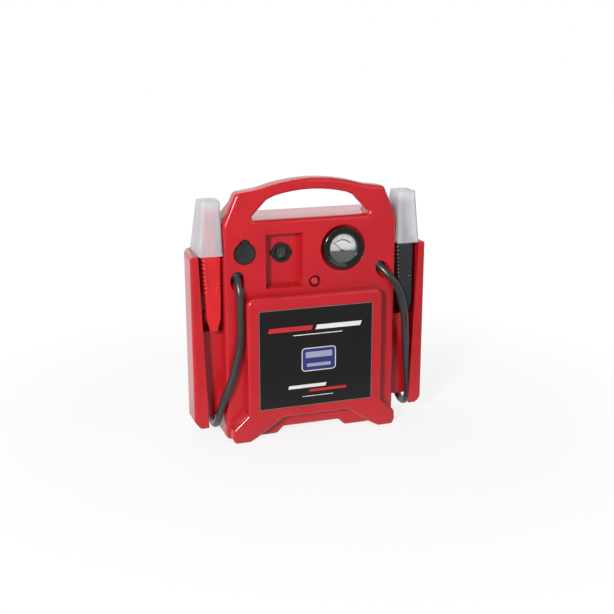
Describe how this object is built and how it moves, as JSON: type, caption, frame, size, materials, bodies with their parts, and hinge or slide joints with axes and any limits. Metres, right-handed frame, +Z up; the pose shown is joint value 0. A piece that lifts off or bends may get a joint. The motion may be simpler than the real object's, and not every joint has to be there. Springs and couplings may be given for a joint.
{
  "type": "jump starter pack",
  "caption": "Portable jump starter pack with a carrying handle, side holsters for spring clamps on heavy leads, a 12 volt outlet, a charging inlet and a battery meter.",
  "frame": {"origin": "on the ground under the middle of the pack", "axes": "+Z up, the front with the label faces -Y, +X to the right of a viewer in front"},
  "size_m": [0.359, 0.114, 0.382],
  "materials": {
    "housing": "moulded, semi-gloss",
    "cap": "translucent, milky",
    "label": "printed film, satin",
    "black_plastic": "moulded, satin",
    "black_rubber": "matt",
    "steel": "zinc plated",
    "dark_steel": "blackened",
    "brass": "bare",
    "dial": "printed",
    "needle": "painted black",
    "mask": "satin",
    "lens": "clear",
    "button": "glossy",
    "lead": "soft sheen",
    "red_grip": "dipped vinyl",
    "black_grip": "dipped vinyl",
    "battery_case": "satin",
    "red_insulation": "matt",
    "board": "solder mask"
  },
  "bodies": {
    "pack": {"front_housing": "housing", "rear_housing": "housing", "housing_screws": "dark_steel", "left_holster": "housing", "right_holster": "housing", "holster_screws": "dark_steel", "left_jaw_cap": "cap", "right_jaw_cap": "cap", "cap_screws": "dark_steel", "label_plate": "label", "outlet_bezel": "black_plastic", "outlet_sleeve": "steel", "outlet_contact": "brass", "outlet_nut": "black_plastic", "outlet_lid_pin": "steel", "inlet_body": "black_plastic", "inlet_pins": "brass", "meter_case": "black_plastic", "meter_dial": "dial", "meter_movement": "brass", "meter_mask": "mask", "meter_lens": "lens", "button_bezel": "black_plastic", "test_switch": "black_plastic", "left_gland": "black_rubber", "right_gland": "black_rubber", "positive_lead": "lead", "negative_lead": "lead", "positive_rear_jaw": "red_grip", "positive_rear_grip": "red_grip", "positive_pivot_pin": "steel", "positive_spring": "steel", "negative_rear_jaw": "black_grip", "negative_rear_grip": "black_grip", "negative_pivot_pin": "steel", "negative_spring": "steel", "battery": "battery_case", "battery_lugs": "brass", "positive_inner_cable": "red_insulation", "negative_inner_cable": "black_rubber", "charger_board": "board", "charger_transformer": "dark_steel", "board_screws": "steel"},
    "lid": {"outlet_lid": "black_rubber"},
    "needle": {"meter_needle": "needle"},
    "button": {"test_button": "button"},
    "positive_half": {"positive_front_jaw": "red_grip", "positive_front_grip": "red_grip"},
    "negative_half": {"negative_front_jaw": "black_grip", "negative_front_grip": "black_grip"}
  },
  "joints": [
    {"name": "outlet_lid_hinge", "type": "hinge", "parent": "pack", "child": "lid", "pos_m": [-0.101, -0.039, 0.296], "axis": [-1, 0, 0], "range_deg": [0, 120]},
    {"name": "meter_needle_swing", "type": "hinge", "parent": "pack", "child": "needle", "pos_m": [0.048, -0.0328, 0.2715], "axis": [0, 1, 0], "range_deg": [0, 88], "stiffness_Nm_per_rad": 0.00002, "springref_deg": -34.38},
    {"name": "test_button_press", "type": "slide", "parent": "pack", "child": "button", "axis": [0, 1, 0], "range_m": [0, 0.002], "stiffness_N_per_m": 600, "springref_m": -0.001},
    {"name": "positive_jaw_open", "type": "hinge", "parent": "pack", "child": "positive_half", "pos_m": [-0.148, -0.014, 0.292], "axis": [1, 0, 0], "range_deg": [0, 16], "stiffness_Nm_per_rad": 2, "springref_deg": -17.19, "deforming": ["positive_spring"]},
    {"name": "negative_jaw_open", "type": "hinge", "parent": "pack", "child": "negative_half", "pos_m": [0.148, -0.014, 0.292], "axis": [1, 0, 0], "range_deg": [0, 16], "stiffness_Nm_per_rad": 2, "springref_deg": -17.19, "deforming": ["negative_spring"]}
  ]
}
